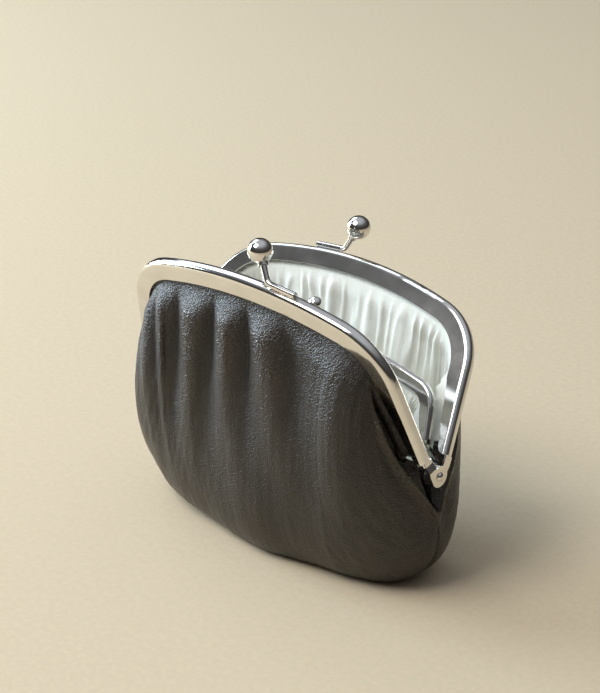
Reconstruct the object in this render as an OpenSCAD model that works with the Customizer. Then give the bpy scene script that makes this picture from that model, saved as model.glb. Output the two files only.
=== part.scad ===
// Kiss lock frame purse: a leather bag on an outer pair of frame halves, with a
// small inner pouch on an inner pair, all four turning on the same two rivets.
// The origin is on the floor, below the middle of the hinge axis. X runs along
// the hinge axis, and the front of the purse faces -Y.

/* [Outer frame] */
// Width over the legs at the hinge
frame_w = 120; // [114:0.5:128]
// Height above the hinge axis
frame_h = 54; // [51:0.5:58]
// Lean of the legs towards the middle
leg_lean = 12; // [9:0.5:14]
// Radius of the top corners
corner_r = 23; // [20:0.5:26]
// Radius of the shallow top curve
top_r = 155; // [140:1:180]
// Thickness of one half, front to back
channel_t = 4.2; // [4.1:0.05:4.8]
// Depth of the channel's sides
flange_d = 6.3; // [5.8:0.1:6.8]
// Thickness of the frame's sheet metal
sheet_t = 0.6; // [0.5:0.05:0.62]

/* [Inner frame] */
// Height above the hinge axis
inner_h = 29.2; // [27:0.2:31]
// Radius of the top corners
inner_corner_r = 9.5; // [8:0.5:12]
// Thickness of one half, front to back
inner_channel_t = 3; // [2.95:0.05:3.3]
// Depth of the channel's sides
inner_flange_d = 4.2; // [3.8:0.1:4.8]
// Gap between the outer channel and the inner frame
nest_gap = 0.6; // [0.5:0.05:1.2]

/* [Hinge] */
// Height of the hinge axis above the floor
hinge_z = 40; // [38:0.5:44]
// Diameter of the rivets
rivet_d = 2; // [1.6:0.1:2.4]
// Clearance of the rivet in its holes, on the radius
rivet_gap = 0.05; // [0.03:0.01:0.1]
// Radius of the rounded ears
ear_r = 3.3; // [3:0.1:3.4]
// Thickness of one ear
ear_t = 0.8; // [0.6:0.05:0.9]

/* [Clasps] */
// Diameter of the outer balls
ball_d = 7.6; // [7:0.1:8.4]
// Diameter of the outer arms' wire
rod_d = 2; // [1.8:0.1:2.3]
// Diameter of the inner balls
inner_ball_d = 5; // [4.6:0.1:5.4]
// Diameter of the inner arms' wire
inner_rod_d = 1.4; // [1.2:0.1:1.6]

/* [Opening angles] */
// Front half, from upright
front_open = 17.2; // [15:0.2:22]
// Rear half, from upright
rear_open = 37.4; // [34:0.2:42]
// Inner front half as a share of the front half
inner_front_share = 0.58; // [0.5:0.01:0.66]
// Inner rear half as a share of the rear half
inner_rear_share = 0.73; // [0.65:0.01:0.76]

/* [Bag] */
// Thickness of the leather
leather_t = 1; // [0.8:0.05:1.05]
// Thickness of the lining
lining_t = 0.4; // [0.3:0.05:0.45]
// Radius of the bag's bottom corners
bag_corner_r = 17.4; // [14:0.2:20]
// How far the front bulges, as a share of its height
front_bulge = 0.53; // [0.45:0.01:0.56]
// How far the rear bulges, as a share of its height
rear_bulge = 0.46; // [0.42:0.01:0.5]
// Height of the pleats where the leather leaves the frame
pleat_h = 2.2; // [0:0.1:3]
// Share of a panel's height over which the pleats fade
pleat_long = 0.45; // [0.25:0.05:0.7]

/* [Inner pouch] */
// Thickness of the pouch's fabric
pouch_t = 0.8; // [0.6:0.05:0.85]
// Height of the pouch's bottom above the floor
pouch_floor = 12; // [10:0.5:15]

/* [Hidden] */
$fn = 64;
// Half of the gap between the two halves when they are shut
shut_gap = 0.15;
// Clearance between two layers in a channel
layer_gap = 0.1;
// Two lengths of one piece overlap by the lap, and the curved one is slimmer by the
// trim, so that their surfaces never coincide
lap = 0.2;
trim = 0.012;
wire_lap = 0.1;
wire_trim = 0.04;
half_w = frame_w / 2;
inner_half_w = half_w - (flange_d + nest_gap) / cos(leg_lean);
inner_top_r = 1.29 * top_r;
inner_sheet_t = sheet_t - 0.1;
inner_front_open = inner_front_share * front_open;
inner_rear_open = inner_rear_share * rear_open;

// An arch is a leaning leg, a corner and a shallow top:
// half width, lean, corner radius, top radius, height, leg length, corner
// centre's x and z, and the angle at which the corner meets the top
function arch_of(w, lean, rc, rt, h) =
    let (
        a = w - rc * cos(lean),
        b = rc * sin(lean) + h - rt,
        m = a * sin(lean) + b * cos(lean),
        leg = m + sqrt(m * m - (a * a + b * b - (rt - rc) * (rt - rc))),
        cx = w - leg * sin(lean) - rc * cos(lean),
        cz = leg * cos(lean) - rc * sin(lean)
    )
    [w, lean, rc, rt, h, leg, cx, cz, atan2(cz - h + rt, cx)];

OUTER = arch_of(half_w, leg_lean, corner_r, top_r, frame_h);
INNER = arch_of(inner_half_w, leg_lean, inner_corner_r, inner_top_r, inner_h);

// Height above the hinge axis at which the channels' sides end
leg_end = 6.8;
inner_leg_end = 8.4;
// Depth of the sides where they end, and the height at which they are full
end_flange_d = 3.7;
inner_end_flange_d = 2.8;
taper_h = 30;
inner_taper_h = 16;

// The ears' places along X, from the outside in: front, rear, inner front, inner rear
ear_pitch = ear_t + layer_gap;
function ear_x(i) = half_w - layer_gap - ear_t - i * ear_pitch;
neck_h = ear_r + layer_gap;

// The rivet's heads close the stack of four ears
stack_in = ear_x(3) - layer_gap;
head_t = 0.45 * rivet_d;
dome_r = 0.75 * rivet_d;

// What lies in the channels beside the cord
outer_layers = leather_t + lining_t + 2.5 * layer_gap;
inner_layers = pouch_t + layer_gap;
wedge_depth = 1.6;
inner_wedge_depth = 1.3;

// Clasps: wire diameter, wire length, ball diameter, the ball's x, the wire's and the
// ball's y, the ball's z on a shut half, the arch, and the angle from the arch's top
// at which the wire lies. The balls pass each other side by side.
stem_turn = 54;
pass_gap = 0.1;
wire_gap = 0.01;
OUTER_CLASP = [
    rod_d, 10.6, ball_d, (ball_d + pass_gap) / 2, -shut_gap - channel_t / 2, 2.3, frame_h + 8,
    OUTER, asin(14.4 / top_r)
];
INNER_CLASP = [
    inner_rod_d, 7, inner_ball_d, (inner_ball_d + pass_gap) / 2, -shut_gap - inner_channel_t / 2,
    1.5, inner_h + 5.8, INNER, asin(9.5 / inner_top_r)
];

// A channel's section: x is minus the depth from the outline, y runs front to back
module channel_section(t, depth, wall, r) {
    difference() {
        translate([-$slim, 0]) rounded_end(t - 2 * $slim, depth - 2 * $slim, r - $slim);
        translate([$slim - wall, 0])
            rounded_end(t - 2 * wall + 2 * $slim, depth, r - wall + $slim);
    }
}

module rounded_end(t, depth, r) {
    translate([-depth, -t / 2]) square([depth - r, t]);
    translate([-2 * r, r - t / 2]) square([2 * r, t - 2 * r]);
    for (y = [r - t / 2, t / 2 - r]) translate([-r, y]) circle(r = r);
}

// Sweeps a section along an arch from height v0 up, on both sides
module arch_sweep(a, v0) {
    start = v0 / cos(a[1]);
    top_angle = 90 - a[8] + lap / a[3] * 180 / PI;
    $slim = 0;
    for (side = [0, 1]) mirror([side, 0, 0]) {
        translate([a[0], 0, 0]) rotate([0, -a[1], 0]) translate([0, 0, start])
            linear_extrude(a[5] - start + lap) children();
        translate([a[6], 0, a[7]]) rotate([90, 0, 0]) rotate([0, 0, a[1]])
            rotate_extrude(angle = a[8] - a[1], $slim = trim)
                translate([a[2], 0]) mirror([0, 1]) children();
    }
    translate([0, 0, a[4] - a[3]]) rotate([90, 0, 0]) rotate([0, 0, 90 - top_angle])
        rotate_extrude(angle = 2 * top_angle, $fn = 360)
            translate([a[3], 0]) mirror([0, 1]) children();
}

// Takes the channel's sides away below their rounded, tapered end, along one leg
module side_end_cut(a, wall, depth, end_depth, v_end, v_full) {
    r = end_depth - wall;
    edge = [for (t = [90:-15:0]) [-wall - r * cos(t), v_end + r - r * sin(t)]];
    translate([a[0], 0, 0]) rotate([0, -a[1], 0]) rotate([90, 0, 0])
        linear_extrude(20, center = true)
            polygon(concat(
                [[-wall, v_end - 9]],
                edge,
                [[-depth, v_full], [-depth - 9, v_full], [-depth - 9, v_end - 9]]
            ));
}

// One crimp: a shallow pressed place on the inner side of a leg, from height v1 to v2
module crimp(a, depth, v1, v2, press) {
    slant = 1.6;
    translate([a[0], -shut_gap, 0]) rotate([0, -a[1], 0]) rotate([90, 0, 0])
        linear_extrude(2 * press, center = true)
            polygon([
                [-0.42 * depth, v1 + slant], [-depth - 1, v1],
                [-depth - 1, v2 + slant], [-0.42 * depth, v2]
            ]);
}

// An ear: the end of a leg, pressed sideways to its place on the rivet
module ear(a, wall, x, t, join_h) {
    top = join_h + 1.2;
    skin = 0.05;
    y_out = -shut_gap - t + 0.7;
    y_in = -shut_gap - 0.3;
    difference() {
        intersection() {
            rotate([90, 0, 0]) linear_extrude(20, center = true)
                polygon([
                    [x, -ear_r - 1], [x + ear_t, -ear_r - 1], [x + ear_t, neck_h + 0.3],
                    [outline_x(a, join_h) - skin, join_h], [outline_x(a, top) - skin, top],
                    [outline_x(a, top) - wall / cos(a[1]), top],
                    [outline_x(a, join_h) - wall / cos(a[1]), join_h], [x, neck_h]
                ]);
            translate([a[0] - 20, 0, 0]) rotate([90, 0, 90]) linear_extrude(40) {
                circle(r = ear_r);
                polygon([
                    [y_in, 0], [y_in, top + 1], [y_out, top + 1],
                    [y_out, 0.7 * ear_r], [-ear_r, 0]
                ]);
            }
        }
        rotate([0, 90, 0]) cylinder(h = 2 * frame_w, d = rivet_d + 2 * rivet_gap, center = true);
    }
}

function outline_x(a, v) = a[0] - v * tan(a[1]);

// One shut, upright half on the -Y side of the closing plane
module frame_half(a, t, wall, depth, end_depth, v_end, v_full, x, crimps) {
    r = 0.42 * t;
    for (side = [0, 1]) mirror([side, 0, 0]) ear(a, wall, x, t, v_end - 1.2);
    difference() {
        translate([0, -shut_gap - t / 2, 0]) arch_sweep(a, v_end - 1.2)
            channel_section(t, depth, wall, r);
        for (side = [0, 1]) mirror([side, 0, 0]) {
            side_end_cut(a, wall, depth, end_depth, v_end, v_full);
            for (c = crimps) crimp(a, depth, c[0], c[1], wall / 2);
        }
    }
}

module outer_half(x) {
    frame_half(OUTER, channel_t, sheet_t, flange_d, end_flange_d, leg_end, taper_h, x,
        [[leg_end, 0.28 * frame_h], [0.38 * frame_h, 0.52 * frame_h]]);
}

module inner_half(x) {
    frame_half(INNER, inner_channel_t, inner_sheet_t, inner_flange_d, inner_end_flange_d,
        inner_leg_end, inner_taper_h, x, [[0.48 * inner_h, 0.62 * inner_h]]);
}

// Puts what hangs on a shut half at its place on the open purse
module front_place() {
    translate([0, 0, hinge_z]) rotate([front_open, 0, 0]) children();
}

module rear_place() {
    translate([0, 0, hinge_z]) rotate([-rear_open, 0, 0]) rotate([0, 0, 180]) children();
}

module inner_front_place() {
    translate([0, 0, hinge_z]) rotate([inner_front_open, 0, 0]) children();
}

module inner_rear_place() {
    translate([0, 0, hinge_z]) rotate([-inner_rear_open, 0, 0]) rotate([0, 0, 180]) children();
}

module front_frame() {
    color("silver") front_place() outer_half(ear_x(0));
}

module rear_frame() {
    color("silver") rear_place() outer_half(ear_x(1));
}

module inner_front_frame() {
    color("silver") inner_front_place() inner_half(ear_x(2));
}

module inner_rear_frame() {
    color("silver") inner_rear_place() inner_half(ear_x(3));
}

// A rivet through all four ears, with a domed head outside and a flat one inside
module rivet() {
    color("silver") translate([0, 0, hinge_z]) rotate([0, 90, 0]) {
        translate([0, 0, stack_in]) cylinder(h = half_w - stack_in, d = rivet_d);
        translate([0, 0, stack_in - head_t]) cylinder(h = head_t, d = 1.5 * rivet_d);
        translate([0, 0, half_w]) intersection() {
            cylinder(h = head_t, d = 1.5 * rivet_d);
            translate([0, 0, head_t - dome_r]) sphere(r = dome_r);
        }
    }
}

module right_rivet() {
    rivet();
}

module left_rivet() {
    mirror([1, 0, 0]) rivet();
}

// A clasp arm, in its bend's plane: wire along the frame, a bend and a stem to the
// ball, with a collar under the ball and a pin into it
module clasp_arm(c) {
    d = c[0];
    bend_r = 1.4 * d;
    bend_x = bend_r * tan(stem_turn / 2);
    stem = clasp_stem(c) - seat_depth(c);
    start = bend_x - wire_lap;
    clasp_plane(c) {
        translate([start, 0, 0]) rotate([0, 90, 0]) cylinder(h = c[1] - start, d = d);
        translate([bend_x, bend_r, 0]) rotate([0, 0, 270 - stem_turn])
            rotate_extrude(angle = stem_turn) translate([bend_r, 0]) circle(d = d - 2 * wire_trim);
        rotate([0, 0, 180 - stem_turn]) rotate([0, 90, 0]) {
            translate([0, 0, start]) cylinder(h = stem - start, d = d);
            translate([0, 0, stem - 0.5 * d]) cylinder(h = 0.5 * d, d = collar_d(c));
            translate([0, 0, stem - lap]) cylinder(h = pin_l(c) + lap, d = pin_d(c));
        }
    }
}

module clasp_ball(c) {
    clasp_plane(c) rotate([0, 0, 180 - stem_turn]) rotate([0, 90, 0]) difference() {
        translate([0, 0, clasp_stem(c)]) sphere(d = c[2]);
        cylinder(h = clasp_stem(c) - seat_depth(c) + wire_gap, d = 2 * collar_d(c));
        cylinder(h = clasp_stem(c) - seat_depth(c) + pin_l(c) + 0.05, d = pin_d(c) + 0.04);
    }
}

// The bend's corner is the origin, X runs along the wire and Y up to the ball
module clasp_plane(c) {
    top = c[7][4];
    r = c[7][3];
    translate([0, 0, top - r]) rotate([0, c[8], 0])
        translate([clasp_ball_x(c) + clasp_rise(c) / tan(stem_turn), c[4], r + wire_z(c)])
            rotate([90 - atan2(c[5] - c[4], clasp_ball_z(c) - wire_z(c)), 0, 0]) children();
}

// The ball's place with the wire level and its middle on top of the arch; z counts
// from the arch
function clasp_ball_x(c) = c[3] * cos(c[8]) - (c[6] - c[7][4] + c[7][3]) * sin(c[8]);
function clasp_ball_z(c) = c[3] * sin(c[8]) + (c[6] - c[7][4] + c[7][3]) * cos(c[8]) - c[7][3];
function wire_z(c) = c[0] / 2 + wire_gap;
function clasp_rise(c) = norm([c[5] - c[4], clasp_ball_z(c) - wire_z(c)]);
function clasp_stem(c) = clasp_rise(c) / sin(stem_turn);
function collar_d(c) = 1.6 * c[0];
function seat_depth(c) = sqrt(c[2] * c[2] - collar_d(c) * collar_d(c)) / 2;
function pin_d(c) = 0.6 * c[0];
function pin_l(c) = 0.25 * c[2];

module front_clasp_arm() {
    color("silver") front_place() clasp_arm(OUTER_CLASP);
}

module front_clasp_ball() {
    color("silver") front_place() clasp_ball(OUTER_CLASP);
}

module rear_clasp_arm() {
    color("silver") rear_place() clasp_arm(OUTER_CLASP);
}

module rear_clasp_ball() {
    color("silver") rear_place() clasp_ball(OUTER_CLASP);
}

module inner_front_clasp_arm() {
    color("silver") inner_front_place() clasp_arm(INNER_CLASP);
}

module inner_front_clasp_ball() {
    color("silver") inner_front_place() clasp_ball(INNER_CLASP);
}

module inner_rear_clasp_arm() {
    color("silver") inner_rear_place() clasp_arm(INNER_CLASP);
}

module inner_rear_clasp_ball() {
    color("silver") inner_rear_place() clasp_ball(INNER_CLASP);
}

// The paper cord that wedges the layers in a channel
module paper_cord(a, t, wall, layers, depth, v_end) {
    room = t - 2 * wall - layers;
    d = room - 2 * layer_gap;
    translate([0, -shut_gap - wall - layer_gap - d / 2, 0]) arch_sweep(a, v_end)
        translate([-depth, 0]) circle(d = d - 2 * $slim);
}

module outer_cord() {
    paper_cord(OUTER, channel_t, sheet_t, outer_layers, wedge_depth, leg_end + 1);
}

module inner_cord() {
    paper_cord(INNER, inner_channel_t, inner_sheet_t, inner_layers, inner_wedge_depth,
        inner_leg_end + 1);
}

module front_paper_cord() {
    color("tan") front_place() outer_cord();
}

module rear_paper_cord() {
    color("tan") rear_place() outer_cord();
}

module inner_front_paper_cord() {
    color("tan") inner_front_place() inner_cord();
}

module inner_rear_paper_cord() {
    color("tan") inner_rear_place() inner_cord();
}

// Where an arch is at u, from -1 at the left leg's end over 0 at the top to 1:
// x, height, and the direction into the arch
function arch_at(a, u, v_end) =
    let (
        top_l = a[3] * (90 - a[8]) * PI / 180,
        corner_l = a[2] * (a[8] - a[1]) * PI / 180,
        leg_l = a[5] - v_end / cos(a[1]),
        q = abs(u) * (top_l + corner_l + leg_l),
        side = u < 0 ? -1 : 1
    )
    q < top_l ? arc_at(0, a[4] - a[3], a[3], 90 - q / a[3] * 180 / PI, side)
    : q < top_l + corner_l ? arc_at(a[6], a[7], a[2], a[8] - (q - top_l) / a[2] * 180 / PI, side)
    : let (left = a[5] - (q - top_l - corner_l))
        [side * (a[0] - left * sin(a[1])), left * cos(a[1]), -side * cos(a[1]), -sin(a[1])];

function arc_at(cx, cz, r, angle, side) =
    [side * (cx + r * cos(angle)), cz + r * sin(angle), -side * cos(angle), -sin(angle)];

// Where the side and bottom seam is at u: x, z, and the direction out of the bag
function seam_at(w, r, z0, z1, u) =
    let (
        base_l = w - r,
        corner_l = r * PI / 2,
        q = abs(u) * (base_l + corner_l + z1 - z0 - r),
        side = u < 0 ? -1 : 1,
        turn = (q - base_l) / r * 180 / PI
    )
    q < base_l ? [side * q, z0, 0, -1]
    : q < base_l + corner_l
        ? [side * (base_l + r * sin(turn)), z0 + r - r * cos(turn), side * sin(turn), -cos(turn)]
    : [side * w, z0 + r + q - base_l - corner_l, side, 0];

// A panel hangs from an arch and ends at a seam. Its fields: arch, height at which
// it ends, side, opening angle, distance of its face from the closing plane, sides'
// depth and end depth, their full height, seam half width, seam corner radius, seam's
// lowest and highest z, seam's y, bulge, tilt at the frame in the middle and at the
// legs, bulge at the legs, pleats' valleys
function place(p, x, out, v) = [
    x, p[2] * (out * cos(p[3]) + v * sin(p[3])), v * cos(p[3]) - out * sin(p[3])
];

function ease(t) = t * t * (3 - 2 * t);
function mix(a, b, t) = a + (b - a) * t;
function unit(v) = v / norm(v);

// Share of a panel that lies inside its channel, and its edge's depth in there
tuck = 0.1;
edge_depth = 1.9;
// How far a panel's bulge shrinks towards its slit edges beside the hinge
slit_tuck = 0.8;

function panel_at(p, u, w) =
    let (
        at = arch_at(p[0], u, p[1]),
        side_d = min(p[5], mix(p[6], p[5], (at[1] - p[1]) / (p[7] - p[1]))),
        mouth = side_d + 0.7,
        depth = mix(edge_depth, mouth, min(w / tuck, 1)),
        hold = place(p, at[0] + depth * at[2], p[4], at[1] + depth * at[3]) + [0, 0, hinge_z]
    )
    w <= tuck ? hold : hang_at(p, u, (w - tuck) / (1 - tuck), hold, at);

// The pleats' valleys: u at the frame, and u where the pleats have faded
front_valleys = [
    [-0.72, -0.66], [-0.55, -0.52], [-0.37, -0.38], [-0.17, -0.19],
    [-0.01, 0.08], [0.16, 0.42], [0.66, 0.74]
];
rear_valleys = [
    [-0.68, -0.62], [-0.47, -0.45], [-0.28, -0.27], [-0.1, -0.1],
    [0.1, 0.1], [0.28, 0.27], [0.47, 0.45], [0.68, 0.62]
];

// How far the rounded pleats between two valleys stand out of a panel
function pleat_at(valleys, u, t) =
    let (edges = [for (v = valleys) mix(v[0], v[1], t / pleat_long)])
    pleat_h * ease(min(t / 0.09, 1)) * (1 - ease(min(t / pleat_long, 1)))
        * max([for (i = [0:len(valleys) - 2])
            let (s = (u - edges[i]) / (edges[i + 1] - edges[i]))
            s > 0 && s < 1 ? sin(180 * s) : 0]);

function hang_at(p, u, t, hold, at) =
    let (
        k = ease(abs(u)),
        tilt = mix(p[14], p[15], k),
        seam = seam_at(p[8], p[9], p[10], p[11], u),
        foot = [seam[0], p[12] + p[2] * layer_gap / 2, seam[1]],
        reach = norm(foot - hold) * (1 - slit_tuck * ease(max(0, (abs(u) - 0.82) / 0.18))),
        h1 = 0.28 * reach,
        h2 = mix(p[13], p[16], k) * reach,
        c1 = hold + h1 * place(p, at[2] * cos(tilt), sin(tilt), at[3] * cos(tilt)),
        c2 = foot + h2 * unit([0.26 * seam[2], p[2], 0.32 * seam[3]]),
        s = 1 - t,
        q = s * s * s * hold + 3 * s * s * t * c1 + 3 * s * t * t * c2 + t * t * t * foot
    )
    [q[0], q[1], max(q[2], p[10])];

// The panel's face, moved inwards by a distance
function layer_at(p, u, w, inward) =
    let (
        e = 0.004,
        du = panel_at(p, min(u + e, 1), w) - panel_at(p, max(u - e, -1), w),
        dw = panel_at(p, u, min(w + e, 1)) - panel_at(p, u, max(w - e, 0)),
        n = -p[2] * unit(cross(du, dw)),
        lift = len(p[17]) > 1 && w > tuck ? pleat_at(p[17], u, (w - tuck) / (1 - tuck)) : 0,
        q = panel_at(p, u, w) + (inward - lift) * n
    )
    [q[0], q[1], max(q[2], p[10] + inward)];

// A closed sheet between two depths below the panel's face
module sheet_between(p, outer, inner, across, down) {
    first = p[2] < 0 ? outer : inner;
    second = p[2] < 0 ? inner : outer;
    stations = concat([0, tuck], [for (j = [1:down]) tuck + (1 - tuck) * j / down]);
    m = len(stations);
    count = (across + 1) * m;
    points = [
        for (d = [first, second], i = [0:across], w = stations)
            layer_at(p, 2 * i / across - 1, w, d)
    ];
    function at(s, i, j) = s * count + i * m + j;
    faces = concat(
        [for (i = [0:across - 1], j = [0:m - 2]) each [
            [at(0, i, j), at(0, i + 1, j), at(0, i + 1, j + 1)],
            [at(0, i, j), at(0, i + 1, j + 1), at(0, i, j + 1)],
            [at(1, i, j), at(1, i + 1, j + 1), at(1, i + 1, j)],
            [at(1, i, j), at(1, i, j + 1), at(1, i + 1, j + 1)]
        ]],
        [for (i = [0:across - 1]) each [
            [at(0, i + 1, 0), at(0, i, 0), at(1, i, 0)],
            [at(0, i + 1, 0), at(1, i, 0), at(1, i + 1, 0)],
            [at(0, i, m - 1), at(0, i + 1, m - 1), at(1, i, m - 1)],
            [at(1, i, m - 1), at(0, i + 1, m - 1), at(1, i + 1, m - 1)]
        ]],
        [for (j = [0:m - 2]) each [
            [at(0, 0, j), at(0, 0, j + 1), at(1, 0, j)],
            [at(1, 0, j), at(0, 0, j + 1), at(1, 0, j + 1)],
            [at(0, across, j + 1), at(0, across, j), at(1, across, j)],
            [at(0, across, j + 1), at(1, across, j), at(1, across, j + 1)]
        ]]
    );
    polyhedron(points = points, faces = faces, convexity = 6);
}

// The bag's and the pouch's panels
bag_face = shut_gap + channel_t - sheet_t - layer_gap;
pouch_face = shut_gap + inner_channel_t - inner_sheet_t - layer_gap;
seam_w = half_w - 2.6;
seam_top = hinge_z - 13.6;
seam_y = 3.2;
lining_in = leather_t + 1.5 * layer_gap;

function bag_panel(side, open, bulge, valleys) = [
    OUTER, leg_end + 1, side, open, bag_face, flange_d, end_flange_d, taper_h,
    seam_w, bag_corner_r, 0, seam_top, seam_y, bulge, 18, 90, 0.23, valleys
];

function pouch_panel(side, open) = [
    INNER, inner_leg_end + 1, side, open, pouch_face, inner_flange_d, inner_end_flange_d,
    inner_taper_h, inner_half_w - 6, 14, pouch_floor, hinge_z - 7, seam_y, 0.14, 4, 24, 0.1, []
];

FRONT_BAG = bag_panel(-1, front_open, front_bulge, front_valleys);
REAR_BAG = bag_panel(1, rear_open, rear_bulge, rear_valleys);
FRONT_POUCH = pouch_panel(-1, inner_front_open);
REAR_POUCH = pouch_panel(1, inner_rear_open);

across = 52;
down = 13;

module front_leather() {
    color([0.16, 0.13, 0.11]) sheet_between(FRONT_BAG, 0, leather_t, across, down);
}

module rear_leather() {
    color([0.16, 0.13, 0.11]) sheet_between(REAR_BAG, 0, leather_t, across, down);
}

module front_lining() {
    color([0.87, 0.89, 0.82]) sheet_between(FRONT_BAG, lining_in, lining_in + lining_t, across, down);
}

module rear_lining() {
    color([0.87, 0.89, 0.82]) sheet_between(REAR_BAG, lining_in, lining_in + lining_t, across, down);
}

module front_pouch_wall() {
    color([0.87, 0.89, 0.82]) sheet_between(FRONT_POUCH, 0, pouch_t, 26, 9);
}

module rear_pouch_wall() {
    color([0.87, 0.89, 0.82]) sheet_between(REAR_POUCH, 0, pouch_t, 26, 9);
}

front_frame();
rear_frame();
inner_front_frame();
inner_rear_frame();
right_rivet();
left_rivet();
front_clasp_arm();
front_clasp_ball();
rear_clasp_arm();
rear_clasp_ball();
inner_front_clasp_arm();
inner_front_clasp_ball();
inner_rear_clasp_arm();
inner_rear_clasp_ball();
front_paper_cord();
rear_paper_cord();
inner_front_paper_cord();
inner_rear_paper_cord();
front_leather();
rear_leather();
front_lining();
rear_lining();
front_pouch_wall();
rear_pouch_wall();
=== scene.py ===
"""A kiss lock frame purse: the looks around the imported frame, in metres.

Named lengths are in millimetres, as in the part's source, and meshes are made in metres.
u runs along a frame half from its left end, -1, over the top, 0, to its right end, 1.
w runs down a panel from inside the channel, 0, to the sewn edge, 1.
A span is where a change starts and over how much it runs. A patch is its middle and its reach.
"""
import math

import bpy
import numpy as np
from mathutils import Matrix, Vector, noise


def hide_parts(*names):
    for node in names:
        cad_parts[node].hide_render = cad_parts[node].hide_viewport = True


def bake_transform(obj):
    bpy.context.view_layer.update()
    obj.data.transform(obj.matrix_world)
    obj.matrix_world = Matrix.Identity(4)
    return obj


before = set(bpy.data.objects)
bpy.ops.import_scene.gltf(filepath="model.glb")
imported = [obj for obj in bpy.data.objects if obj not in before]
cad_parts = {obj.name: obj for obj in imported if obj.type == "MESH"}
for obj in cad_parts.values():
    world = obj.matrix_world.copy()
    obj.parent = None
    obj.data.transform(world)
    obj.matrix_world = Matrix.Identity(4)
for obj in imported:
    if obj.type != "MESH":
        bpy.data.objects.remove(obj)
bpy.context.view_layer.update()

MM = 0.001
# The frame halves
FRAME_W, FRAME_H, LEG_LEAN, CORNER_R, TOP_R = 120, 54, 12, 23, 155
CHANNEL_T, FLANGE_D, END_FLANGE_D, TAPER_H = 4.2, 6.3, 3.7, 30
INNER_H, INNER_CORNER_R, INNER_TOP_R = 29.2, 9.5, 1.29 * TOP_R
INNER_CHANNEL_T, INNER_FLANGE_D, INNER_END_FLANGE_D, INNER_TAPER_H = 3, 4.2, 2.8, 16
SHEET_T = 0.6
INNER_SHEET_T = SHEET_T - 0.1
SHUT_GAP, NEST_GAP, LAYER_GAP = 0.15, 0.6, 0.1
LEG_END, INNER_LEG_END = 6.8, 8.4
HINGE_Z = 40
FRONT_OPEN, REAR_OPEN = 17.2, 37.4
INNER_FRONT_SHARE, INNER_REAR_SHARE = 0.58, 0.73
# The sheets
LEATHER_T, LINING_T, POUCH_T = 1.0, 0.4, 0.8
LINING_IN = LEATHER_T + 1.5 * LAYER_GAP
SEAM_Y = 3.2
# Where the leathers meet they lap by this, because the stitched seam draws them in
SEAM_LAP = 0.22
# Heights between which the sheets begin to follow their frame half
BAG_BLEND, POUCH_BLEND = (15, 52), (18, 50)
# Faces across and down a bag sheet and a pouch wall
DETAIL = 1.0
BAG_GRID = int(300 * DETAIL), int(100 * DETAIL)
POUCH_GRID = int(200 * DETAIL), int(60 * DETAIL)


def ease(x, start=0, over=1):
    """0 up to the start, 1 from start + over on, and smooth between them."""
    t = np.clip((x - start) / over, 0, 1)
    return t * t * (3 - 2 * t)


def bell(x, middle, reach):
    x = (x - middle) / reach
    return np.exp(-x * x)


def unit(v):
    return v / np.linalg.norm(v, axis=-1, keepdims=True)


class Arch:
    """A frame half's outline: a leaning leg, a corner and a shallow top."""

    def __init__(self, half_w, height, corner_r, top_r):
        lean = math.radians(LEG_LEAN)
        self.half_w, self.height, self.lean = half_w, height, lean
        self.corner_r, self.top_r = corner_r, top_r
        a = half_w - corner_r * math.cos(lean)
        b = corner_r * math.sin(lean) + height - top_r
        m = a * math.sin(lean) + b * math.cos(lean)
        self.leg = m + math.sqrt(m * m - (a * a + b * b - (top_r - corner_r) ** 2))
        self.cx = half_w - self.leg * math.sin(lean) - corner_r * math.cos(lean)
        self.cz = self.leg * math.cos(lean) - corner_r * math.sin(lean)
        self.join = math.atan2(self.cz - height + top_r, self.cx)

    def at(self, u, v_end):
        """x, height above the hinge and the direction into the arch; the leg ends at v_end."""
        top_l = self.top_r * (math.pi / 2 - self.join)
        corner_l = self.corner_r * (self.join - self.lean)
        leg_l = self.leg - v_end / math.cos(self.lean)
        q = np.abs(u) * (top_l + corner_l + leg_l)
        side = np.where(u < 0, -1.0, 1.0)
        on_top, on_corner = q < top_l, q < top_l + corner_l
        angle = np.where(on_top, math.pi / 2 - q / self.top_r, self.join - (q - top_l) / self.corner_r)
        left = self.leg - (q - top_l - corner_l)
        on_arc = on_top | on_corner
        cx = np.where(on_top, 0, self.cx)
        cz = np.where(on_top, self.height - self.top_r, self.cz)
        r = np.where(on_top, self.top_r, self.corner_r)
        x = np.where(on_arc, cx + r * np.cos(angle), self.half_w - left * math.sin(self.lean))
        v = np.where(on_arc, cz + r * np.sin(angle), left * math.cos(self.lean))
        dx = np.where(on_arc, -np.cos(angle), -math.cos(self.lean))
        dv = np.where(on_arc, -np.sin(angle), -math.sin(self.lean))
        return side * x, v, side * dx, dv


def seam_at(half_w, r, z0, z1, u):
    """x, z and the outward direction on the sewn edge, from its left end over the bottom."""
    base_l, corner_l = half_w - r, r * math.pi / 2
    q = np.abs(u) * (base_l + corner_l + z1 - z0 - r)
    side = np.where(u < 0, -1.0, 1.0)
    turn = np.clip((q - base_l) / r, 0, math.pi / 2)
    rise = np.maximum(q - base_l - corner_l, 0)
    x = np.minimum(q, base_l) + r * np.sin(turn)
    return side * x, z0 + r - r * np.cos(turn) + rise, side * np.sin(turn), -np.cos(turn)


# The share of w that lies in the channel, and the depths there from the outline
TUCK, EDGE_DEPTH, HOLD_PAST = 0.1, 1.9, 0.7
# Towards the ends a panel leaves its channel at a steeper tilt
TILT_SPAN = (0.2, 0.78)
# Near the slits a panel's curve is pulled in by this share
SLIT_TUCK, SLIT_SPAN = 0.8, (0.82, 0.18)
# How far the curve keeps its first direction, as a share of its reach
FIRST_REACH = 0.28
# The last direction's parts across and down, against 1 outwards
FOOT_ACROSS, FOOT_DOWN = 0.26, 0.32
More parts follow.
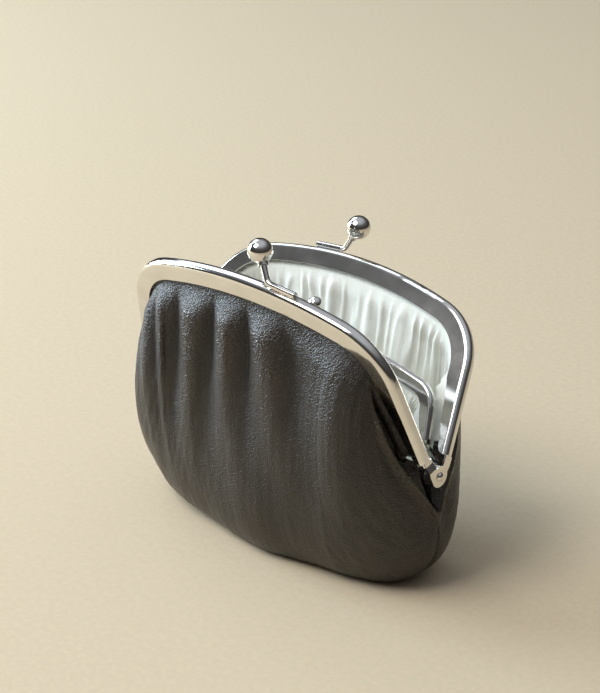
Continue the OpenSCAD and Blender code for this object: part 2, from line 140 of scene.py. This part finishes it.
# A small step in u and w, for the normals
STEP = 0.004


class Panel:
    """A panel hangs from an arch and ends at a seam; side is -1 in front and 1 behind.

    The channel is the face's distance from the closing plane, the sides' depth, their depth at
    the leg's end and the height at which they are full. Bulges, as shares of the reach, and
    tilts, in degrees, are for the middle and for the ends.
    """

    def __init__(self, arch, v_end, side, open_deg, channel, seam, bulges, tilts):
        self.arch, self.v_end, self.side, self.open = arch, v_end, side, math.radians(open_deg)
        self.face, self.flange, self.end_flange, self.taper = channel
        self.seam = seam
        self.bulge, self.end_bulge = bulges
        self.tilt, self.end_tilt = tilts

    def place(self, x, out, v):
        """Turns a place or direction of the upright half by its opening angle."""
        c, s = math.cos(self.open), math.sin(self.open)
        return np.stack(np.broadcast_arrays(x, self.side * (out * c + v * s), v * c - out * s), -1)

    def at(self, u, w):
        """Points of the plain face: a curve from the channel to the seam at each u."""
        ax, av, ix, iv = self.arch.at(u, self.v_end)
        deeper = (self.flange - self.end_flange) * (av - self.v_end) / (self.taper - self.v_end)
        side_d = np.minimum(self.flange, self.end_flange + deeper)
        depth = EDGE_DEPTH + (side_d + HOLD_PAST - EDGE_DEPTH) * np.minimum(w / TUCK, 1)
        hold = self.place(ax + depth * ix, self.face, av + depth * iv) + [0, 0, HINGE_Z]
        steeper = (self.end_tilt - self.tilt) * ease(np.abs(u), *TILT_SPAN)
        tilt = np.radians(self.tilt + steeper)
        sx, sz, ox, oz = seam_at(*self.seam, u)
        foot = np.stack([sx, np.full_like(sx, SEAM_Y - self.side * SEAM_LAP), sz], -1)
        reach = np.linalg.norm(foot - hold, axis=-1) * (1 - SLIT_TUCK * ease(np.abs(u), *SLIT_SPAN))
        bulge = self.bulge + (self.end_bulge - self.bulge) * ease(np.abs(u))
        h1, h2 = FIRST_REACH * reach, bulge * reach
        c1 = hold + h1[..., None] * self.place(ix * np.cos(tilt), np.sin(tilt), iv * np.cos(tilt))
        last = unit(np.stack([FOOT_ACROSS * ox, np.full_like(ox, self.side), FOOT_DOWN * oz], -1))
        c2 = foot + h2[..., None] * last
        t = np.clip((w - TUCK) / (1 - TUCK), 0, 1)[..., None]
        s = 1 - t
        q = s ** 3 * hold + 3 * s * s * t * c1 + 3 * s * t * t * c2 + t ** 3 * foot
        q[..., 2] = np.maximum(q[..., 2], self.seam[2])
        return q

    def frame(self, u, w):
        """Points of the face and its outward normals."""
        du = self.at(np.minimum(u + STEP, 1), w) - self.at(np.maximum(u - STEP, -1), w)
        dw = self.at(u, np.minimum(w + STEP, 1)) - self.at(u, np.maximum(w - STEP, 0))
        return self.at(u, w), self.side * unit(np.cross(du, dw))


OUTER = Arch(FRAME_W / 2, FRAME_H, CORNER_R, TOP_R)
INNER_HALF_W = FRAME_W / 2 - (FLANGE_D + NEST_GAP) / math.cos(math.radians(LEG_LEAN))
INNER = Arch(INNER_HALF_W, INNER_H, INNER_CORNER_R, INNER_TOP_R)
BAG_FACE = SHUT_GAP + CHANNEL_T - SHEET_T - LAYER_GAP
POUCH_FACE = SHUT_GAP + INNER_CHANNEL_T - INNER_SHEET_T - LAYER_GAP
BAG_CHANNEL = (BAG_FACE, FLANGE_D, END_FLANGE_D, TAPER_H)
POUCH_CHANNEL = (POUCH_FACE, INNER_FLANGE_D, INNER_END_FLANGE_D, INNER_TAPER_H)
# A seam is its half width, its corners' radius, and its lowest and highest z
BAG_INSET, BAG_CORNER_R, BAG_FLOOR, BAG_DROP = 2.6, 17.4, 0, 13.6
BAG_SEAM = (FRAME_W / 2 - BAG_INSET, BAG_CORNER_R, BAG_FLOOR, HINGE_Z - BAG_DROP)
POUCH_INSET, POUCH_CORNER_R, POUCH_FLOOR, POUCH_DROP = 6, 14, 12, 7
POUCH_SEAM = (INNER_HALF_W - POUCH_INSET, POUCH_CORNER_R, POUCH_FLOOR, HINGE_Z - POUCH_DROP)
# The sheets end this far above the legs' channels
BAG_SHORT, POUCH_SHORT = 3, 1
FRONT_BULGE, REAR_BULGE, BAG_END_BULGE, BAG_TILTS = 0.53, 0.46, 0.23, (18, 90)
POUCH_BULGES, POUCH_TILTS = (0.14, 0.1), (4, 24)


def bag(side, open_deg, bulge):
    bulges = (bulge, BAG_END_BULGE)
    return Panel(OUTER, LEG_END + BAG_SHORT, side, open_deg, BAG_CHANNEL, BAG_SEAM, bulges, BAG_TILTS)


def pouch(side, open_deg):
    v_end = INNER_LEG_END + POUCH_SHORT
    return Panel(INNER, v_end, side, open_deg, POUCH_CHANNEL, POUCH_SEAM, POUCH_BULGES, POUCH_TILTS)


FRONT = bag(-1, FRONT_OPEN, FRONT_BULGE)
REAR = bag(1, REAR_OPEN, REAR_BULGE)
FRONT_POUCH = pouch(-1, INNER_FRONT_SHARE * FRONT_OPEN)
REAR_POUCH = pouch(1, INNER_REAR_SHARE * REAR_OPEN)

# The pleats' valleys: u at the frame, and u where the pleats have faded
FRONT_VALLEYS = [
    (-0.90, -0.86), (-0.72, -0.66), (-0.55, -0.52), (-0.37, -0.38), (-0.17, -0.19),
    (-0.01, 0.08), (0.16, 0.42), (0.66, 0.74),
]
REAR_VALLEYS = [
    (-0.86, -0.80), (-0.68, -0.62), (-0.47, -0.45), (-0.28, -0.27), (-0.10, -0.10),
    (0.10, 0.10), (0.28, 0.27), (0.47, 0.45), (0.68, 0.62), (0.86, 0.80),
]
# The height in mm of the roll after each valley; the rear lining has a share of it
FRONT_HEIGHTS = (0.8, 1.3, 2.6, 4.2, 4.2, 4.0, 2.0)
REAR_HEIGHTS = (0.8, 1.8, 2.9, 3.5, 3.7, 3.5, 2.9, 1.8, 0.8)
LINING_SHARE = 0.3
REAR_LINING_HEIGHTS = [LINING_SHARE * h for h in REAR_HEIGHTS]
# The share of a panel's height over which the pleats run, and how far beyond they are followed
PLEAT_LONG, PLEAT_PAST = 0.52, 1.3
PLEAT_RISE, PLEAT_FADE = (0.01, 0.2), (0.2, 0.95)
# The rolls' power: under 1 their valleys are sharp, and it grows as they fade
ROLL_POWER, ROLL_SOFTER = 0.62, 1.5
# The fold that the open frame pushes up beside each hinge: w, and the ridge's u there
RIDGE_W = [0.10, 0.145, 0.18, 0.22, 0.31, 0.42, 0.525, 0.64, 1.0]
RIDGE_U = [0.69, 0.74, 0.785, 0.825, 0.865, 0.895, 0.92, 0.945, 0.98]
# The length in mm of 1 of u, the ridge's reach and the slope of the hollow outside it
U_MM, RIDGE_REACH, POCKET_SLOPE = 97, 1.7, 4.5
RIDGE_RISE, HINGE_FADE = (0.13, 0.14), (0.8, 0.2)
# The left ridge is this much as high as the right one
LEFT_SHARE = 0.35
# Waves are their height in mm, and their cells across and down a panel
BROAD_WAVES, SMALL_WAVES, FINE_WAVES = (1.2, 5.0, 2.2), (0.2, 13, 5.0), (0.14, 40, 9)
STREAKS, CREASES = (0.2, 42, 3.5), (0.34, 30, 16)
# How much streaks and creases slant, and their patches in u and w
SLANT = 0.5
STREAK_U, STREAK_W = (-0.45, 0.35), (0.5, 0.22)
CREASE_U, CREASE_W = (0.66, 0.26), (0.66, 0.17)
LEATHER_RISE, BROAD_RISE, LEATHER_FADE = (TUCK, 0.045), (0.22, 0.3), (0.74, 0.24)
# The seam's groove and its stitches: heights in mm and reaches in w
GROOVE_H, GROOVE_REACH = 0.6, 0.018
STITCH_H, STITCH_REACH, STITCH_TURN = 0.1, 0.03, 260
# The linings' gathers: how many over half a panel, what bends them, and where they show
GATHERS, GATHER_BENDS = 17, ((0.9, 5, 3), (0.3, 14, 5))
GATHER_PATCHES, LEAST_GATHER = (1, 7, 4), 0.35
SOFT_SMALL, SOFT_SMALL_H = (0.5, 11, 7), 0.6
SOFT_FINE, SOFT_FINE_H = (0.5, 30, 16), 0.22
SOFT_RISE, GATHER_FADE, SOFT_SIDES, SOFT_FADE = (TUCK, 0.06), (0.14, 0.26), (0.78, 0.16), (0.92, 0.08)


def noise_at(u, w, across, down, seed):
    """Smooth noise from -1 to 1 with that many cells across and down a panel."""
    flat = [noise.noise((a * across, b * down, seed)) for a, b in zip(u.ravel(), w.ravel())]
    return np.array(flat).reshape(u.shape)


def waves(u, w, kind, seed):
    height, across, down = kind
    return height * noise_at(u, w, across, down, seed)


def pleat_folds(u, w, valleys, heights):
    """Rounded rolls between sharp valleys, which grow softer as they fade."""
    down = np.clip((w - TUCK) / (1 - TUCK) / PLEAT_LONG, 0, PLEAT_PAST)
    total = np.zeros_like(u)
    for (a0, a1), (b0, b1), height in zip(valleys, valleys[1:], heights):
        s = (u - a0 - (a1 - a0) * down) / (b0 - a0 + (b1 - a1 - b0 + a0) * down)
        roll = np.sin(np.pi * np.clip(s, 0, 1))
        total += height * roll ** (ROLL_POWER + ROLL_SOFTER * down)
    return total * ease(down, *PLEAT_RISE) * (1 - ease(down, *PLEAT_FADE))


def hinge_fold(u, w, ridge, pocket):
    """A ridge that runs down from the frame, and a hollow between it and the slit."""
    s = (np.abs(u) - np.interp(w, RIDGE_W, RIDGE_U)) * U_MM
    lift = ridge * bell(s, 0, RIDGE_REACH) * ease(w, *RIDGE_RISE) * np.where(u > 0, 1, LEFT_SHARE)
    lift -= pocket * ease(s, 0, POCKET_SLOPE)
    return lift * (1 - ease(w, *HINGE_FADE))


def leather_folds(u, w, valleys, heights, ridge, pocket, seed):
    """How far the leather stands out of its plain panel, in mm."""
    broad = waves(u, w, BROAD_WAVES, seed) * ease(w, *BROAD_RISE)
    small = waves(u, w, SMALL_WAVES, seed + 5) + waves(u, w, FINE_WAVES, seed + 9)
    streaks = waves(u + SLANT * w, w, STREAKS, seed + 20) * bell(u, *STREAK_U) * bell(w, *STREAK_W)
    creases = waves(u - SLANT * w, w, CREASES, seed + 14) * bell(u, *CREASE_U) * bell(w, *CREASE_W)
    total = broad + small + streaks + creases + hinge_fold(u, w, ridge, pocket)
    stitches = STITCH_H * bell(1 - w, 0, STITCH_REACH) * np.sin(u * STITCH_TURN)
    seam = stitches - GROOVE_H * bell(1 - w, 0, GROOVE_REACH)
    share = ease(w, *LEATHER_RISE) * (1 - ease(w, *LEATHER_FADE))
    return share * total + pleat_folds(u, w, valleys, heights) + seam


def soft_folds(u, w, seed, gather):
    """How far a lining stands in from its plain panel, in mm: never less than nothing."""
    out = ease(w, *SOFT_RISE) * (1 - ease(np.abs(u), *SOFT_SIDES))
    broad_bend, small_bend = GATHER_BENDS
    bend = waves(u, w, broad_bend, seed) + waves(u, w, small_bend, seed + 1)
    lines = 0.5 + 0.5 * np.sin(2 * np.pi * (u * GATHERS + bend))
    patch = ease(0.5 + waves(u, w, GATHER_PATCHES, seed + 2))
    fade = 1 - ease(w, *GATHER_FADE)
    small = 0.5 + waves(u, w, SOFT_SMALL, seed + 3)
    fine = 0.5 + waves(u, w, SOFT_FINE, seed + 4)
    gathers = gather * lines ** 2 * fade * (LEAST_GATHER + (1 - LEAST_GATHER) * patch)
    total = gathers + SOFT_SMALL_H * small + SOFT_FINE_H * fine
    return out * total * (1 - ease(w, *SOFT_FADE))


def folds_of(valleys, heights, ridge, pocket, seed):
    """The folds of one sheet, with the heights in mm of its hinge folds."""
    return lambda u, w: leather_folds(u, w, valleys, heights, ridge, pocket, seed)


def plain(u, w):
    return np.zeros_like(u)


# The leather is turned in past a slit's edge, over this much of u
HEM_U = 0.06
# How far the hem goes in and down, in mm, and how near the middle it ends
HEM_IN, HEM_TURN, HEM_SINK, HEM_LAP = 1.2, 4.5, 0.8, 0.1
# It starts to turn this far above the hinge, and over this height
HEM_ABOVE, HEM_OVER = 1.5, 5
# How far from the middle the bag's sheets stay where the inner frame shuts
INNER_CLEAR = 5.2
# The spans beside the inner frame, above it, above the ears and past the channel
CLEAR_BESIDE, CLEAR_LOW, CLEAR_TUCK = (-2.2, 1.0), (2, 6), (TUCK, 0.02)
CLEAR_ABOVE, CLEAR_OVER = 2.6, 1.2
# Below the hinges the linings are narrower by this share, so that no slit shows them
NARROWER, NARROW_SPAN = 0.08, (0.16, 0.16)
# How strongly a ridge or a hollow of 1 mm shows in the material: as painted light on ridges, painted
# shade in hollows, and in the leather's polish
RIDGE_GAIN = 0.3
# In a lining's painted shade and light, pleats and gathers count by these shares
SOFT_GAIN, SOFT_PLEATS = 1.2, 0.4
# A ridge stands out against the mean over these shares of the grid
BLUR_ACROSS, BLUR_DOWN = 30, 12
# The skins' inner faces are lined as far as this u
LINED_U = 0.91


def blurred(field, across, down):
    """A grid's values averaged over a box of that many points each way, twice."""
    for _ in range(2):
        for axis, size in ((0, across), (1, down)):
            pad = [(size, size) if a == axis else (0, 0) for a in (0, 1)]
            total = np.cumsum(np.pad(field, pad, mode="edge"), axis=axis)
            high = np.take(total, range(2 * size, total.shape[axis]), axis=axis)
            low = np.take(total, range(0, total.shape[axis] - 2 * size), axis=axis)
            field = (high - low) / (2 * size)
    return field


def normals_of(q, side):
    """Outward normals of a grid of points."""
    return side * unit(np.cross(np.gradient(q, axis=0), np.gradient(q, axis=1)))


def turned_in(q, u, side):
    """Turns what lies past a slit's edge into the bag, to meet the other panel below the hinge."""
    past = np.clip((np.abs(u) - 1) / HEM_U, 0, 1)
    share = past * ease(HINGE_Z + HEM_ABOVE - q[..., 2], 0, HEM_OVER)
    inset = -np.sign(u) * (HEM_IN * past + HEM_TURN * share)
    to_middle = SEAM_Y - side * HEM_LAP - q[..., 1]
    return q + np.stack([inset, to_middle * share, -HEM_SINK * share], -1)


def clear_of_inner(q, w, panel):
    """Keeps a bag sheet out of the space that the inner frame takes when the purse is shut."""
    low, high = BAG_BLEND
    turn = ease(q[..., 2], low, high - low) * panel.open
    c, s = np.cos(turn), np.sin(turn)
    y, z = panel.side * q[..., 1], q[..., 2] - HINGE_Z
    out, v = y * c - z * s, y * s + z * c
    beside = INNER.half_w - v * math.tan(INNER.lean) - np.abs(q[..., 0])
    share = ease(beside, *CLEAR_BESIDE) * ease(INNER_H + CLEAR_ABOVE - v, 0, CLEAR_OVER)
    share = share * ease(v, *CLEAR_LOW) * ease(w, *CLEAR_TUCK)
    push = np.clip(INNER_CLEAR - out, 0, None) * share
    return q + np.stack([np.zeros_like(push), panel.side * c * push, -s * push], -1)


def sheet_faces(across, down):
    """Two skins whose faces come in turn, and then the rim between them."""
    m, count = down + 1, (across + 1) * (down + 1)
    faces = []
    for i in range(across):
        for j in range(down):
            a, b, c, d = i * m + j, (i + 1) * m + j, (i + 1) * m + j + 1, i * m + j + 1
            faces.append((a, d, c, b))
            faces.append((count + a, count + b, count + c, count + d))
    rim = [(i, 0) for i in range(across)] + [(across, j) for j in range(down)]
    rim += [(i, down) for i in range(across, 0, -1)] + [(0, j) for j in range(down, 0, -1)]
    ring = [i * m + j for i, j in rim]
    for a, b in zip(ring, ring[1:] + ring[:1]):
        faces.append((a, b, count + b, count + a))
    return faces


def linked(name, data):
    obj = bpy.data.objects.new(name, data)
    bpy.context.scene.collection.objects.link(obj)
    return obj


def shell(name, panel, folds, depths, grid, soft=None, half_u=1.0):
    """A closed sheet between two depths, in mm, below a panel's folded face."""
    across, down = grid
    along_u, along_w = np.linspace(-half_u, half_u, across + 1), np.linspace(0, 1, down + 1)
    u, w = np.meshgrid(along_u, along_w, indexing="ij")
    if soft:
        u = u * (1 - NARROWER * ease(w, *NARROW_SPAN))
    near = np.clip(u, -1, 1)
    face, normal = panel.frame(near, w)
    lift = folds(near, w)
    face = face + normal * lift[..., None]
    if half_u > 1:
        face = turned_in(face, u, panel.side)
    normal = normals_of(face, panel.side)
    if soft:
        crease = soft(near, w)
        face = face - normal * crease[..., None]
        lift = SOFT_GAIN * (SOFT_PLEATS * lift - crease)
    if folds is not plain:
        face = clear_of_inner(face, w, panel)
    # The ridge attribute paints shade into the folds' hollows and light onto their ridges, and sets
    # the leather's polish
    above = lift - blurred(lift, across // BLUR_ACROSS, down // BLUR_DOWN)
    ridge = np.clip(0.5 + RIDGE_GAIN * above, 0, 1)
    layers = []
    for depth in depths:
        q = face - normal * depth
        q[..., 2] = np.maximum(q[..., 2], panel.seam[2] + depth)
        layers.append(q.reshape(-1, 3))
    if panel.side < 0:
        layers.reverse()
    mesh = bpy.data.meshes.new(name)
    mesh.from_pydata((np.vstack(layers) * MM).tolist(), [], sheet_faces(across, down))
    mesh.update()
    mesh.shade_smooth()
    attribute = mesh.attributes.new("ridge", "FLOAT", "POINT")
    attribute.data.foreach_set("value", np.tile(ridge.ravel(), 2).astype(np.float32))
    return linked(name, mesh)


# Most values of a noise node lie between these
NOISE_LOW, NOISE_HIGH = 0.3, 0.7
LEATHER_DARK, LEATHER_LIGHT = (0.012, 0.0075, 0.0045), (0.024, 0.0155, 0.0095)
LINING_DARK, LINING_LIGHT = (0.86, 0.87, 0.79), (0.90, 0.91, 0.84)
NICKEL_DARK, NICKEL_LIGHT = (0.74, 0.72, 0.69), (0.83, 0.81, 0.78)
PAPER_DARK, PAPER_LIGHT = (0.42, 0.31, 0.18), (0.58, 0.46, 0.30)
FLOOR_COLOUR = (0.69, 0.57, 0.40)


def new_material(name, **sockets):
    material = bpy.data.materials.new(name)
    material.use_nodes = True
    shader = material.node_tree.nodes["Principled BSDF"]
    for key, value in sockets.items():
        shader.inputs[key.replace("_", " ")].default_value = value
    return material, material.node_tree, shader


def node(tree, kind, **values):
    made = tree.nodes.new(kind)
    for key, value in values.items():
        if key in made.inputs:
            made.inputs[key].default_value = value
        else:
            setattr(made, key, value)
    return made


def place_coordinates(tree):
    return tree.nodes.new("ShaderNodeTexCoord").outputs["Object"]


def ridges(tree):
    """0 in the hollows of the folds, 0.5 on plain places and 1 on ridges."""
    return node(tree, "ShaderNodeAttribute", attribute_name="ridge").outputs["Fac"]


def shaded(tree, colour, factor):
    made = node(tree, "ShaderNodeVectorMath", operation="SCALE")
    tree.links.new(colour, made.inputs[0])
    tree.links.new(factor, made.inputs["Scale"])
    return made.outputs["Vector"]


def noise_node(tree, where, scale, detail=3.0, roughness=0.55):
    made = node(tree, "ShaderNodeTexNoise", Scale=scale, Detail=detail, Roughness=roughness)
    tree.links.new(where, made.inputs["Vector"])
    return made.outputs["Fac"]


def cells(tree, where, scale, **values):
    made = node(tree, "ShaderNodeTexVoronoi", Scale=scale, **values)
    tree.links.new(where, made.inputs["Vector"])
    return made.outputs["Distance"]


def ramp(tree, value, low, high, start=0.0, end=1.0):
    """Carries a value from the range start to end into the range low to high."""
    made = tree.nodes.new("ShaderNodeMapRange")
    for key, v in (("From Min", start), ("From Max", end), ("To Min", low), ("To Max", high)):
        made.inputs[key].default_value = v
    tree.links.new(value, made.inputs["Value"])
    return made.outputs["Result"]


def colours(tree, value, stops):
    made = tree.nodes.new("ShaderNodeValToRGB")
    elements = made.color_ramp.elements
    while len(elements) < len(stops):
        elements.new(0.5)
    for element, (place, colour) in zip(elements, stops):
        element.position = place
        element.color = (*colour, 1)
    tree.links.new(value, made.inputs["Fac"])
    return made.outputs["Color"]


def mottled(tree, value, dark, light):
    return colours(tree, value, [(NOISE_LOW, dark), (NOISE_HIGH, light)])


def bump(tree, height, distance, strength=1.0, normal=None):
    made = node(tree, "ShaderNodeBump", Strength=strength, Distance=distance)
    tree.links.new(height, made.inputs["Height"])
    if normal:
        tree.links.new(normal, made.inputs["Normal"])
    return made.outputs["Normal"]


def leather():
    """Dark, fine-grained, half-glossy leather, polished on the ridges, with painted shade in the fold
    hollows and painted light on the ridges.
    """
    material, tree, shader = new_material(
        "dark_leather", Coat_Weight=0.3, Coat_Roughness=0.33, Specular_IOR_Level=0.5,
    )
    where = place_coordinates(tree)
    tone = mottled(tree, noise_node(tree, where, scale=55, detail=4), LEATHER_DARK, LEATHER_LIGHT)
    # Painted shade in the fold hollows and painted light on the ridges, as a factor on the base colour
    painted_fold_shade = ramp(tree, ridges(tree), low=0.3, high=1.35)
    tree.links.new(shaded(tree, tone, painted_fold_shade), shader.inputs["Base Color"])
    grain = cells(tree, where, scale=2300, feature="SMOOTH_F1")
    fine = noise_node(tree, where, scale=3600, detail=2)
    wrinkle = noise_node(tree, where, scale=230, detail=6, roughness=0.62)
    polish = ramp(tree, ridges(tree), low=0.16, high=-0.12)
    rough = node(tree, "ShaderNodeMath", operation="ADD")
    tree.links.new(ramp(tree, wrinkle, 0.34, 0.46, NOISE_LOW, NOISE_HIGH), rough.inputs[0])
    tree.links.new(polish, rough.inputs[1])
    tree.links.new(rough.outputs["Value"], shader.inputs["Roughness"])
    n = bump(tree, wrinkle, distance=0.0006, strength=0.2)
    n = bump(tree, grain, distance=0.00042, strength=0.85, normal=n)
    n = bump(tree, fine, distance=0.00015, strength=0.4, normal=n)
    tree.links.new(n, shader.inputs["Normal"])
    tree.links.new(n, shader.inputs["Coat Normal"])
    return material


def cloth():
    """Pale, softly creased lining cloth, with painted shade in its creases and painted light on its
    ridges.
    """
    material, tree, shader = new_material(
        "pale_lining", Roughness=0.6, Sheen_Weight=0.12, Sheen_Roughness=0.5,
    )
    where = place_coordinates(tree)
    tone = mottled(tree, noise_node(tree, where, scale=70), LINING_DARK, LINING_LIGHT)
    # Painted shade in the creases and painted light on the ridges, as a factor on the base colour
    painted_fold_shade = ramp(tree, ridges(tree), low=0.88, high=1.06)
    tree.links.new(shaded(tree, tone, painted_fold_shade), shader.inputs["Base Color"])
    weave = cells(tree, where, scale=2600)
    crease = noise_node(tree, where, scale=190, detail=4, roughness=0.6)
    n = bump(tree, crease, distance=0.0008, strength=0.35)
    n = bump(tree, weave, distance=0.0001, strength=0.35, normal=n)
    tree.links.new(n, shader.inputs["Normal"])
    return material


def nickel(name, rough_low, rough_high, wave):
    """Bright nickel plate on pressed sheet, whose waves are that high in metres."""
    material, tree, shader = new_material(name, Metallic=1.0, Roughness=rough_low)
    where = place_coordinates(tree)
    cloud = noise_node(tree, where, scale=120, detail=4)
    tree.links.new(mottled(tree, cloud, NICKEL_DARK, NICKEL_LIGHT), shader.inputs["Base Color"])
    rough = ramp(tree, cloud, rough_low, rough_high, NOISE_LOW, NOISE_HIGH)
    tree.links.new(rough, shader.inputs["Roughness"])
    press = noise_node(tree, where, scale=160, detail=2)
    tree.links.new(bump(tree, press, distance=wave, strength=0.5), shader.inputs["Normal"])
    return material


def paper():
    material, tree, shader = new_material("paper_cord", Roughness=0.85)
    fibres = noise_node(tree, place_coordinates(tree), scale=900, detail=4)
    tree.links.new(mottled(tree, fibres, PAPER_DARK, PAPER_LIGHT), shader.inputs["Base Color"])
    tree.links.new(bump(tree, fibres, distance=0.0001), shader.inputs["Normal"])
    return material


def dress(obj, material):
    obj.data.materials.clear()
    obj.data.materials.append(material)


LEATHER = leather()
LINING = cloth()
FRAME_METAL = nickel("nickel_frame", 0.07, 0.12, 0.00005)
CLASP_METAL = nickel("nickel_clasp", 0.05, 0.09, 0.00004)
RIVET_METAL = nickel("nickel_rivet", 0.10, 0.18, 0.00006)
PAPER = paper()

for name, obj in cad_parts.items():
    if name.endswith("frame"):
        dress(obj, FRAME_METAL)
    elif "clasp" in name:
        dress(obj, CLASP_METAL)
    elif name.endswith("rivet"):
        dress(obj, RIVET_METAL)
    elif name.endswith("cord"):
        dress(obj, PAPER)


def soft_piece(obj, material, replaced):
    """Makes a sheet stand for a node: dresses it, hides the node and bakes its place."""
    dress(obj, material)
    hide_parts(replaced)
    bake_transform(obj)


def line_inside(skin, side):
    """Gives the inner faces of a skin, every second one, the lining's cloth."""
    across, down = BAG_GRID
    skin.data.materials.append(LINING)
    for face in skin.data.polygons[:2 * across * down]:
        u = (2 * (face.index // 2 // down + 0.5) / across - 1) * (1 + HEM_U)
        if face.index % 2 == (side > 0) and abs(u) < LINED_U:
            face.material_index = 1


# Side, panel, the leather's folds, the lining's folds, the lining's seed and its half width in u:
# the linings end short of the slits, where the leather is turned in
BAG_SHEETS = (
    ("front", FRONT, folds_of(FRONT_VALLEYS, FRONT_HEIGHTS, 2.1, 3.0, 3.0),
     folds_of(FRONT_VALLEYS, FRONT_HEIGHTS, 0.2, 4.8, 3.0), 2.0, 0.92),
    ("rear", REAR, folds_of(REAR_VALLEYS, REAR_HEIGHTS, 1.0, 2.2, 21.0),
     folds_of(REAR_VALLEYS, REAR_LINING_HEIGHTS, 0.2, 3.2, 21.0), 8.0, 0.985),
)
# Heights in mm of the gathers
BAG_GATHER, POUCH_GATHER = 1.0, 0.5
for side, panel, folds, lining_folds, seed, lining_half_u in BAG_SHEETS:
    skin = shell(f"{side}_bag_leather", panel, folds, (0, LEATHER_T), BAG_GRID, half_u=1 + HEM_U)
    soft_piece(skin, LEATHER, f"{side}_leather")
    line_inside(skin, panel.side)
    lining = shell(
        f"{side}_bag_lining", panel, lining_folds, (LINING_IN, LINING_IN + LINING_T), BAG_GRID,
        lambda u, w, s=seed: soft_folds(u, w, s, BAG_GATHER), lining_half_u,
    )
    soft_piece(lining, LINING, f"{side}_lining")
for side, panel, seed in (("front", FRONT_POUCH, 5.0), ("rear", REAR_POUCH, 11.0)):
    wall = shell(
        f"{side}_pouch_cloth", panel, plain, (0, POUCH_T), POUCH_GRID,
        lambda u, w, s=seed: soft_folds(u, w, s, POUCH_GATHER),
    )
    soft_piece(
        wall, LINING, f"{side}_pouch_wall",
    )

# Stage, light and camera, in metres
FLOOR_HALF = 20.0
SPECKLE = ((0.35, 0.97), (0.65, 1.03))
SKY = ((0.2, (0.05, 0.045, 0.042)), (0.55, (0.10, 0.10, 0.10)), (0.92, (0.5, 0.53, 0.58)))
LAMP_TARGET = Vector((0, 0, 0.05))
# Name, azimuth and elevation seen from the object in degrees, distance, size, watts and colour
SOFTBOXES = (
    ("key", -22, 55, 1.5, 0.8, 13.5, (1.0, 0.99, 0.97)),
    ("window", -74, 14, 1.25, 0.6, 18, (0.72, 0.87, 1.0)),
    ("side", -100, 42, 1.5, 0.9, 5, (0.80, 0.91, 1.0)),
)
# The camera's azimuth and elevation are in radians, its target and distance in mm
CAMERA_AZIMUTH, CAMERA_ELEVATION = 0.7488, 0.4198
CAMERA_TARGET, CAMERA_DISTANCE = (4.633, 0, 64.528), 622.585
FOCAL_PX, LONG_SIDE_PX, SENSOR_MM = 2069.157, 693, 36


def lay_floor():
    material, tree, shader = new_material("floor", Base_Color=(*FLOOR_COLOUR, 1), Roughness=0.9)
    speckle = noise_node(tree, place_coordinates(tree), scale=500)
    stops = [(place, tuple(share * c for c in FLOOR_COLOUR)) for place, share in SPECKLE]
    tree.links.new(colours(tree, speckle, stops), shader.inputs["Base Color"])
    mesh = bpy.data.meshes.new("floor")
    corners = [(x * FLOOR_HALF, y * FLOOR_HALF, 0) for x, y in ((-1, -1), (1, -1), (1, 1), (-1, 1))]
    mesh.from_pydata(corners, [], [(0, 1, 2, 3)])
    floor = linked("floor", mesh)
    dress(floor, material)


def light_sky():
    world = bpy.data.worlds.new("studio")
    bpy.context.scene.world = world
    world.use_nodes = True
    tree = world.node_tree
    direction = tree.nodes.new("ShaderNodeTexCoord").outputs["Generated"]
    split = tree.nodes.new("ShaderNodeSeparateXYZ")
    tree.links.new(direction, split.inputs["Vector"])
    sky = colours(tree, split.outputs["Z"], SKY)
    tree.links.new(sky, tree.nodes["Background"].inputs["Color"])


def aim(obj, target, distance, azimuth, elevation):
    """Puts a lamp or camera at that distance from its target, facing it."""
    back = Vector((
        math.sin(azimuth) * math.cos(elevation),
        -math.cos(azimuth) * math.cos(elevation),
        math.sin(elevation),
    ))
    obj.location = target + distance * back
    obj.rotation_mode = "QUATERNION"
    obj.rotation_quaternion = (-back).to_track_quat("-Z", "Y")


def softbox(name, azimuth, elevation, distance, size, power, colour):
    data = bpy.data.lights.new(name, "AREA")
    data.shape, data.size, data.energy, data.color = "SQUARE", size, power, colour
    aim(linked(name, data), LAMP_TARGET, distance, math.radians(azimuth), math.radians(elevation))


def place_camera():
    camera = linked("camera", bpy.data.cameras.new("camera"))
    camera.data.sensor_width = SENSOR_MM
    camera.data.lens = FOCAL_PX * SENSOR_MM / LONG_SIDE_PX
    camera.data.clip_start, camera.data.clip_end = 0.01, 20
    target = Vector(CAMERA_TARGET) * MM
    aim(camera, target, CAMERA_DISTANCE * MM, CAMERA_AZIMUTH, CAMERA_ELEVATION)
    bpy.context.scene.camera = camera


lay_floor()
light_sky()
for values in SOFTBOXES:
    softbox(*values)
place_camera()
bpy.context.scene.view_settings.view_transform = "Standard"
